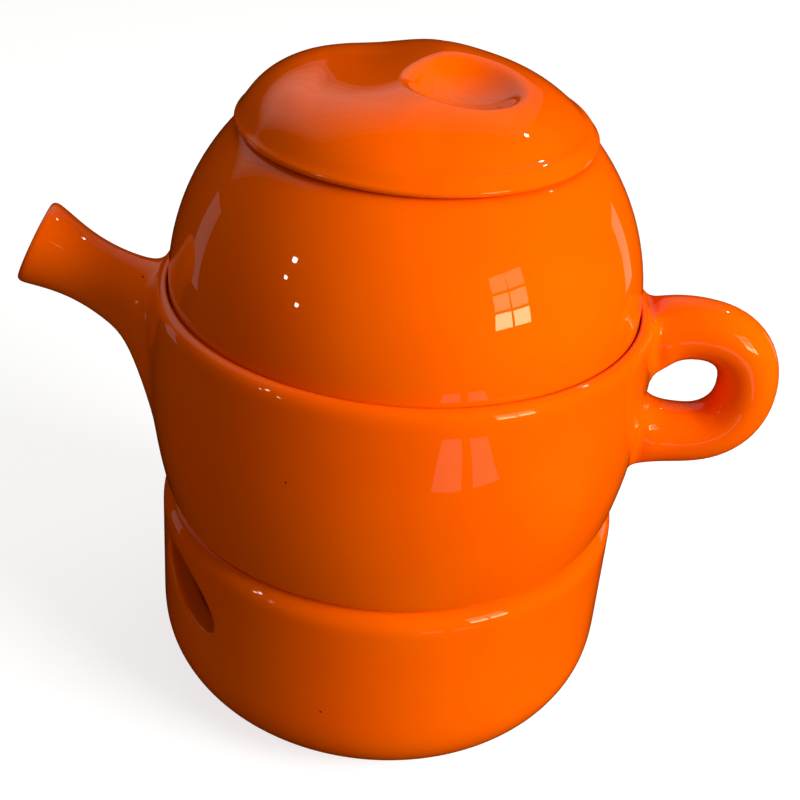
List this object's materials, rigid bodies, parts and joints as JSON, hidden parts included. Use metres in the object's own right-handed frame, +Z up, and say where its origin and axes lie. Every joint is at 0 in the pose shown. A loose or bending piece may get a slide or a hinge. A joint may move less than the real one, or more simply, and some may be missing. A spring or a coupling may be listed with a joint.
{
  "type": "fondue pot set",
  "caption": "Stacked ceramic fondue set: a candle warmer, a spouted pot with a loop handle, a round inner bowl and a domed lid with a thumb scoop.",
  "frame": {"origin": "centre of the warmer's flat underside, on the pots' common axis", "axes": "+Z up along the common axis, +X towards the handle, -X towards the spout, -Y the front"},
  "size_m": [0.2445, 0.1594, 0.2177],
  "materials": {
    "warmer_base": "gloss",
    "pot": "gloss",
    "inner_bowl": "gloss",
    "lid": "gloss",
    "tealight_cup": "satin",
    "tealight_wax": "satin",
    "wick": "matte",
    "wick_clip": "satin"
  },
  "bodies": {
    "warmer": {"warmer_base": "warmer_base"},
    "tealight": {"tealight_cup": "tealight_cup", "tealight_wax": "tealight_wax", "wick": "wick", "wick_clip": "wick_clip"},
    "pot": {"pot": "pot"},
    "bowl": {"inner_bowl": "inner_bowl"},
    "lid": {"lid": "lid"}
  },
  "joints": [
    {"name": "pot_lift", "type": "slide", "parent": "warmer", "child": "pot", "axis": [0, 0, 1], "range_m": [0, 0.125]},
    {"name": "bowl_lift", "type": "slide", "parent": "pot", "child": "bowl", "axis": [0, 0, 1], "range_m": [0, 0.07]},
    {"name": "lid_lift", "type": "slide", "parent": "bowl", "child": "lid", "axis": [0, 0, 1], "range_m": [0, 0.04]},
    {"name": "tealight_lift", "type": "slide", "parent": "warmer", "child": "tealight", "axis": [0, 0, 1], "range_m": [0, 0.075]}
  ],
  "couplings": [
    {"joint": "tealight_lift", "follows": "pot_lift", "ratio": 0.6}
  ]
}
